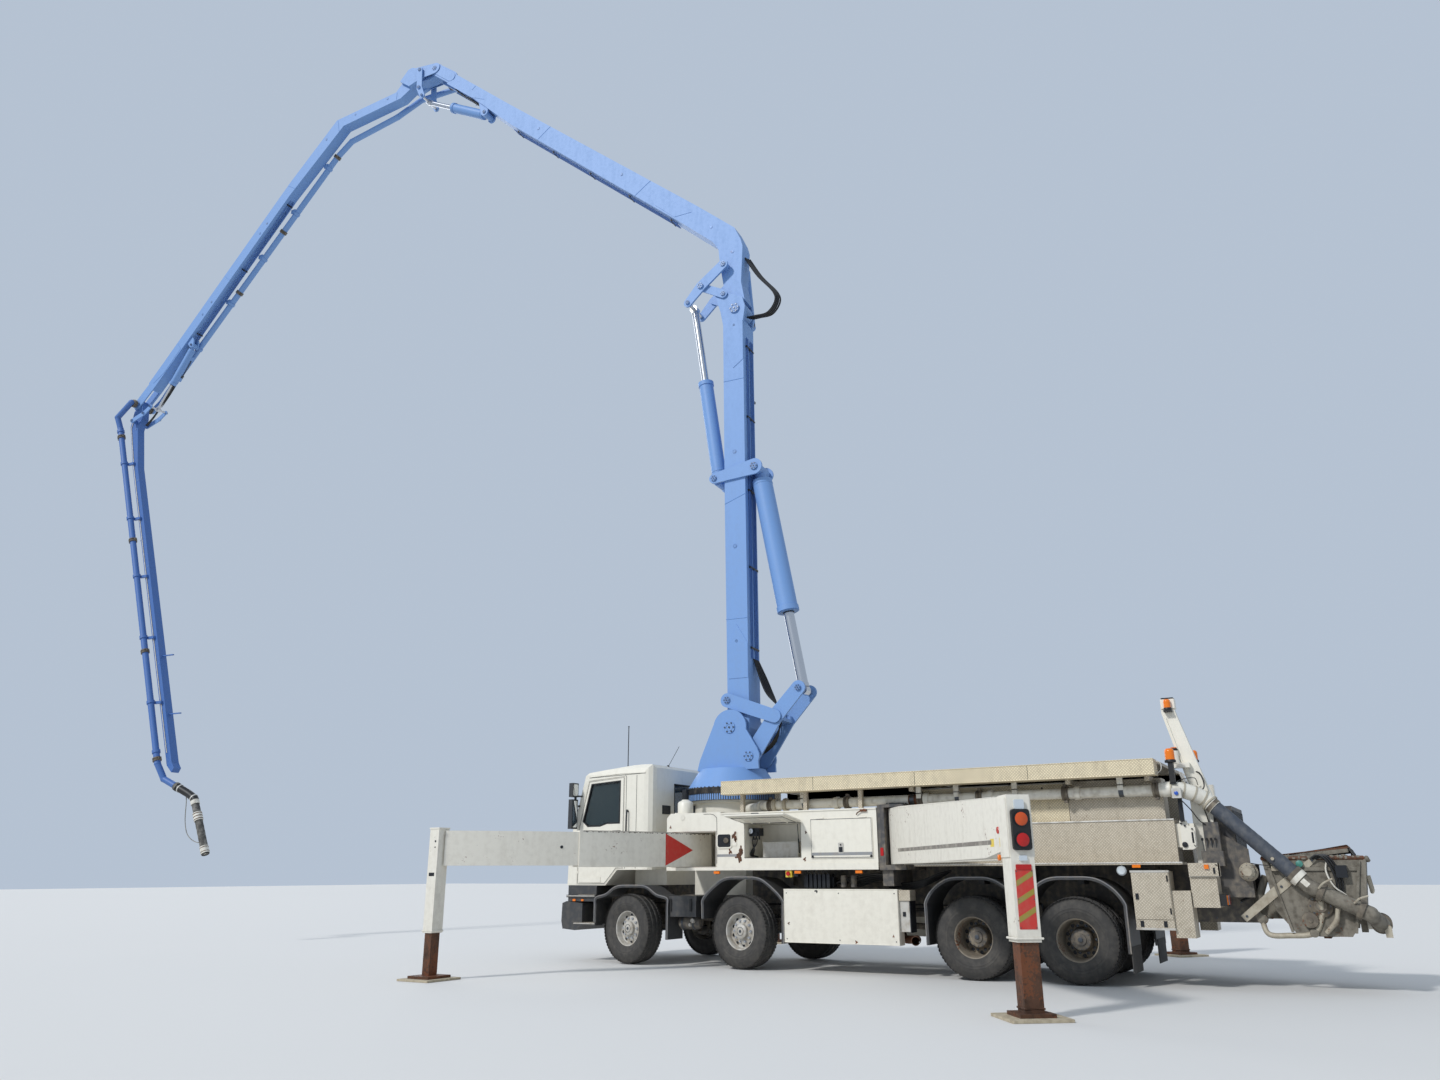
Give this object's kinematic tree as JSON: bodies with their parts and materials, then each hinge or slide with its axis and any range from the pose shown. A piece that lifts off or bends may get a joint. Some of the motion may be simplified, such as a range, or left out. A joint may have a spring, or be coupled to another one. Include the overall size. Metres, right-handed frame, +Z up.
{
  "type": "concrete pump truck",
  "caption": "Four-axle concrete pump truck on its outriggers, its long folding boom raised and arched forward to a hanging end hose.",
  "frame": {"origin": "centre of the bounding box on the ground", "axes": "+X forward along the truck, +Y to its left, +Z up"},
  "size_m": [26.6764, 10.148, 20.79],
  "materials": {
    "boom_blue": "gloss light blue paint",
    "boom_blue_dark": "gloss mid blue paint",
    "cream": "gloss cream white paint, stone chips and rust at edges",
    "dark_frame": "matt dark grey paint, dusty",
    "chequer": "chequer plate, dusty",
    "black_plastic": "dark grey moulded plastic",
    "interior": "dark grey",
    "splashed": "paint under dried concrete",
    "pipe": "cream white pipe, worn",
    "chrome": "hard chrome rod",
    "rust_leg": "bare steel with rust",
    "tyre": "road tyre, dusty",
    "rubber": "worn black rubber with dried concrete"
  },
  "bodies": {
    "truck": {"chassis": "dark_frame", "axles": "dark_frame", "cab_shell": "cream", "cab_interior": "interior", "front_end": "black_plastic", "mudguards": "black_plastic", "locker_cabinet": "cream", "deck_cabinets": "cream", "walkways": "chequer", "pedestal": "cream", "hopper": "splashed", "pump_unit": "dark_frame", "delivery_line": "pipe"},
    "door_left": {"door_left": "cream"},
    "door_right": {"door_right": "cream"},
    "locker_lid": {"locker_lid": "cream"},
    "turret": {"turret": "boom_blue"},
    "boom_1": {"boom_1": "boom_blue"},
    "boom_2": {"boom_2": "boom_blue"},
    "boom_3": {"boom_3": "boom_blue"},
    "boom_4": {"boom_4": "boom_blue_dark", "end_hose": "rubber"},
    "lever_a": {"lever_a": "boom_blue"},
    "link_a": {"link_a": "boom_blue"},
    "lever_b": {"lever_b": "boom_blue"},
    "link_b": {"link_b": "boom_blue"},
    "lever_c": {"lever_c": "boom_blue"},
    "lever_d": {"lever_d": "boom_blue"},
    "barrel_a": {"barrel_a": "boom_blue"},
    "rod_a": {"rod_a": "chrome"},
    "barrel_b": {"barrel_b": "boom_blue"},
    "rod_b": {"rod_b": "chrome"},
    "barrel_c": {"barrel_c": "boom_blue"},
    "rod_c": {"rod_c": "chrome"},
    "barrel_d": {"barrel_d": "boom_blue"},
    "rod_d": {"rod_d": "chrome"},
    "beam_outer_left": {"beam_outer_left": "cream"},
    "beam_outer_right": {"beam_outer_right": "cream"},
    "beam_inner_left": {"beam_inner_left": "cream"},
    "beam_inner_right": {"beam_inner_right": "cream"},
    "front_leg_left": {"front_leg_left": "rust_leg"},
    "front_leg_right": {"front_leg_right": "rust_leg"},
    "rear_arm_left": {"rear_arm_left": "cream"},
    "rear_arm_right": {"rear_arm_right": "cream"},
    "rear_leg_left": {"rear_leg_left": "rust_leg"},
    "rear_leg_right": {"rear_leg_right": "rust_leg"},
    "knuckle_1_left": {"knuckle_1_left": "dark_frame"},
    "knuckle_1_right": {"knuckle_1_right": "dark_frame"},
    "knuckle_2_left": {"knuckle_2_left": "dark_frame"},
    "knuckle_2_right": {"knuckle_2_right": "dark_frame"},
    "wheel_1_left": {"wheel_1_left": "tyre"},
    "wheel_1_right": {"wheel_1_right": "tyre"},
    "wheel_2_left": {"wheel_2_left": "tyre"},
    "wheel_2_right": {"wheel_2_right": "tyre"},
    "wheel_3_left": {"wheel_3_left": "tyre"},
    "wheel_3_right": {"wheel_3_right": "tyre"},
    "wheel_4_left": {"wheel_4_left": "tyre"},
    "wheel_4_right": {"wheel_4_right": "tyre"}
  },
  "joints": [
    {"name": "slew", "type": "hinge", "parent": "truck", "child": "turret", "pos_m": [-4.1, 0, 2.6], "axis": [0, 0, 1], "range_deg": [-270, 270]},
    {"name": "boom_1_lower", "type": "hinge", "parent": "turret", "child": "boom_1", "pos_m": [-4.21934, -0.01254, 3.7], "axis": [0.1045, -0.9945, 0], "range_deg": [0, 90]},
    {"name": "boom_2_fold", "type": "hinge", "parent": "boom_1", "child": "boom_2", "pos_m": [-4.31879, -0.023, 11.71], "axis": [-0.1045, 0.9945, 0], "range_deg": [-29, 91]},
    {"name": "boom_3_fold", "type": "hinge", "parent": "boom_2", "child": "boom_3", "pos_m": [3.76667, 0.82682, 20.5], "axis": [-0.1045, 0.9945, 0], "range_deg": [-80, 23]},
    {"name": "boom_4_unfold", "type": "hinge", "parent": "boom_3", "child": "boom_4", "pos_m": [12.90632, 1.78744, 13.2], "axis": [0.1045, -0.9945, 0], "range_deg": [-75, 55]},
    {"name": "lever_a_turn", "type": "hinge", "parent": "turret", "child": "lever_a", "pos_m": [-4.55748, -0.04808, 3.21], "axis": [0.1045, -0.9945, 0], "range_deg": [-1, 63.28]},
    {"name": "link_a_turn", "type": "hinge", "parent": "boom_1", "child": "link_a", "pos_m": [-4.14973, -0.00523, 4.17], "axis": [0.1045, -0.9945, 0], "range_deg": [-63.15, 1]},
    {"name": "barrel_a_turn", "type": "hinge", "parent": "boom_1", "child": "barrel_a", "pos_m": [-4.68677, -0.06167, 8.38], "axis": [0.1045, -0.9945, 0], "range_deg": [-1, 2.1]},
    {"name": "rod_a_slide", "type": "slide", "parent": "barrel_a", "child": "rod_a", "axis": [-0.1775, -0.0187, -0.9839], "range_m": [-1.1647, 0.01]},
    {"name": "lever_b_turn", "type": "hinge", "parent": "boom_2", "child": "lever_b", "pos_m": [-4.10995, -0.00105, 12.7], "axis": [-0.1045, 0.9945, 0], "range_deg": [-10.87, 31.96]},
    {"name": "link_b_turn", "type": "hinge", "parent": "boom_1", "child": "link_b", "pos_m": [-4.09005, 0.00105, 12.07], "axis": [-0.1045, 0.9945, 0], "range_deg": [-39.07, 120.45]},
    {"name": "barrel_b_turn", "type": "hinge", "parent": "boom_1", "child": "barrel_b", "pos_m": [-3.89115, 0.02195, 8.27], "axis": [-0.1045, 0.9945, 0], "range_deg": [-9.64, 3.75]},
    {"name": "rod_b_slide", "type": "slide", "parent": "barrel_b", "child": "rod_b", "axis": [0.1414, 0.0149, 0.9898], "range_m": [-1.2315, 0.3993]},
    {"name": "lever_c_turn", "type": "hinge", "parent": "boom_3", "child": "lever_c", "pos_m": [4.18437, 0.87072, 20.56], "axis": [-0.1045, 0.9945, 0], "range_deg": [-19, 63.62]},
    {"name": "barrel_c_turn", "type": "hinge", "parent": "boom_2", "child": "barrel_c", "pos_m": [2.15554, 0.65748, 18.65], "axis": [-0.1045, 0.9945, 0], "range_deg": [-11.28, 3.96]},
    {"name": "rod_c_slide", "type": "slide", "parent": "barrel_c", "child": "rod_c", "axis": [0.8643, 0.0908, 0.4946], "range_m": [-0.0574, 0.1747]},
    {"name": "lever_d_turn", "type": "hinge", "parent": "boom_4", "child": "lever_d", "pos_m": [12.8566, 1.78221, 12.7], "axis": [0.1045, -0.9945, 0], "range_deg": [-57.42, 77.94]},
    {"name": "barrel_d_turn", "type": "hinge", "parent": "boom_3", "child": "barrel_d", "pos_m": [11.23553, 1.61183, 14.6], "axis": [0.1045, -0.9945, 0], "range_deg": [-14.84, 11.15]},
    {"name": "rod_d_slide", "type": "slide", "parent": "barrel_d", "child": "rod_d", "axis": [0.5224, 0.0549, -0.8509], "range_m": [-0.4587, 0.339]},
    {"name": "beam_outer_left_in", "type": "hinge", "parent": "truck", "child": "beam_outer_left", "pos_m": [1.99, 0.12, 1.7], "axis": [0, 0, 1], "range_deg": [0, 18.5]},
    {"name": "beam_inner_left_in", "type": "hinge", "parent": "beam_outer_left", "child": "beam_inner_left", "pos_m": [1.99, 0.12, 1.7], "axis": [0, 0, 1], "range_deg": [0, 16.5]},
    {"name": "front_leg_left_up", "type": "slide", "parent": "beam_inner_left", "child": "front_leg_left", "axis": [0, 0, 1], "range_m": [0, 0.45]},
    {"name": "rear_arm_left_in", "type": "hinge", "parent": "truck", "child": "rear_arm_left", "pos_m": [-7.44, 1.06, 1.85], "axis": [0, 0, 1], "range_deg": [0, 52]},
    {"name": "rear_leg_left_up", "type": "slide", "parent": "rear_arm_left", "child": "rear_leg_left", "axis": [0, 0, 1], "range_m": [0, 0.45]},
    {"name": "door_left_open", "type": "hinge", "parent": "truck", "child": "door_left", "pos_m": [-1.761, 1.184, 2], "axis": [0, 0, -1], "range_deg": [0, 65]},
    {"name": "beam_outer_right_in", "type": "hinge", "parent": "truck", "child": "beam_outer_right", "pos_m": [1.625, -0.12, 1.7], "axis": [0, 0, -1], "range_deg": [0, 18.5]},
    {"name": "beam_inner_right_in", "type": "hinge", "parent": "beam_outer_right", "child": "beam_inner_right", "pos_m": [1.625, -0.12, 1.7], "axis": [0, 0, -1], "range_deg": [0, 16.5]},
    {"name": "front_leg_right_up", "type": "slide", "parent": "beam_inner_right", "child": "front_leg_right", "axis": [0, 0, 1], "range_m": [0, 0.45]},
    {"name": "rear_arm_right_in", "type": "hinge", "parent": "truck", "child": "rear_arm_right", "pos_m": [-7.44, -1.06, 1.85], "axis": [0, 0, -1], "range_deg": [0, 52]},
    {"name": "rear_leg_right_up", "type": "slide", "parent": "rear_arm_right", "child": "rear_leg_right", "axis": [0, 0, 1], "range_m": [0, 0.45]},
    {"name": "door_right_open", "type": "hinge", "parent": "truck", "child": "door_right", "pos_m": [-1.761, -1.184, 2], "axis": [0, 0, 1], "range_deg": [0, 65]},
    {"name": "locker_lid_close", "type": "hinge", "parent": "truck", "child": "locker_lid", "pos_m": [-5.51, 1.268, 2.098], "axis": [-1, 0, 0], "range_deg": [0, 96]},
    {"name": "steer_1_left", "type": "hinge", "parent": "truck", "child": "knuckle_1_left", "pos_m": [-2.91, 0.83, 0.53], "axis": [0, 0, 1], "range_deg": [-17, 39]},
    {"name": "wheel_1_left_roll", "type": "hinge", "parent": "knuckle_1_left", "child": "wheel_1_left", "pos_m": [-2.91, 0.83, 0.53], "axis": [0.1908, 0.9816, 0], "continuous": true},
    {"name": "steer_1_right", "type": "hinge", "parent": "truck", "child": "knuckle_1_right", "pos_m": [-2.91, -0.83, 0.53], "axis": [0, 0, 1], "range_deg": [-17, 39]},
    {"name": "wheel_1_right_roll", "type": "hinge", "parent": "knuckle_1_right", "child": "wheel_1_right", "pos_m": [-2.91, -0.83, 0.53], "axis": [0.1908, 0.9816, 0], "continuous": true},
    {"name": "steer_2_left", "type": "hinge", "parent": "truck", "child": "knuckle_2_left", "pos_m": [-4.96, 0.83, 0.53], "axis": [0, 0, 1], "range_deg": [-12.8, 29.3]},
    {"name": "wheel_2_left_roll", "type": "hinge", "parent": "knuckle_2_left", "child": "wheel_2_left", "pos_m": [-4.96, 0.83, 0.53], "axis": [0.1392, 0.9903, 0], "continuous": true},
    {"name": "steer_2_right", "type": "hinge", "parent": "truck", "child": "knuckle_2_right", "pos_m": [-4.96, -0.83, 0.53], "axis": [0, 0, 1], "range_deg": [-12.8, 29.3]},
    {"name": "wheel_2_right_roll", "type": "hinge", "parent": "knuckle_2_right", "child": "wheel_2_right", "pos_m": [-4.96, -0.83, 0.53], "axis": [0.1392, 0.9903, 0], "continuous": true},
    {"name": "wheel_3_left_roll", "type": "hinge", "parent": "truck", "child": "wheel_3_left", "pos_m": [-8.49, 0.9, 0.53], "axis": [0, 1, 0], "continuous": true},
    {"name": "wheel_3_right_roll", "type": "hinge", "parent": "truck", "child": "wheel_3_right", "pos_m": [-8.49, -0.9, 0.53], "axis": [0, 1, 0], "continuous": true},
    {"name": "wheel_4_left_roll", "type": "hinge", "parent": "truck", "child": "wheel_4_left", "pos_m": [-9.84, 0.9, 0.53], "axis": [0, 1, 0], "continuous": true},
    {"name": "wheel_4_right_roll", "type": "hinge", "parent": "truck", "child": "wheel_4_right", "pos_m": [-9.84, -0.9, 0.53], "axis": [0, 1, 0], "continuous": true}
  ],
  "couplings": [
    {"joint": "lever_a_turn", "follows": "boom_1_lower", "ratio": 0.692},
    {"joint": "link_a_turn", "follows": "boom_1_lower", "ratio": -0.6905},
    {"joint": "barrel_a_turn", "follows": "boom_1_lower", "ratio": 0.0122},
    {"joint": "rod_a_slide", "follows": "boom_1_lower", "m_per_rad": -0.73508},
    {"joint": "lever_b_turn", "follows": "boom_2_fold", "ratio": 0.3402},
    {"joint": "link_b_turn", "follows": "boom_2_fold", "ratio": 1.3126},
    {"joint": "barrel_b_turn", "follows": "boom_2_fold", "ratio": -0.095},
    {"joint": "rod_b_slide", "follows": "boom_2_fold", "m_per_rad": -0.76911},
    {"joint": "lever_c_turn", "follows": "boom_3_fold", "ratio": -0.7827},
    {"joint": "barrel_c_turn", "follows": "boom_3_fold", "ratio": 0.1285},
    {"joint": "rod_c_slide", "follows": "boom_3_fold", "m_per_rad": -0.11796},
    {"joint": "lever_d_turn", "follows": "boom_4_unfold", "ratio": -1.0258},
    {"joint": "barrel_d_turn", "follows": "boom_4_unfold", "ratio": 0.1845},
    {"joint": "rod_d_slide", "follows": "boom_4_unfold", "m_per_rad": 0.34278},
    {"joint": "beam_inner_left_in", "follows": "beam_outer_left_in", "ratio": 0.89},
    {"joint": "beam_inner_right_in", "follows": "beam_outer_right_in", "ratio": 0.89},
    {"joint": "steer_1_right", "follows": "steer_1_left", "ratio": 1},
    {"joint": "steer_2_left", "follows": "steer_1_left", "ratio": 0.75},
    {"joint": "steer_2_right", "follows": "steer_1_left", "ratio": 0.75}
  ]
}
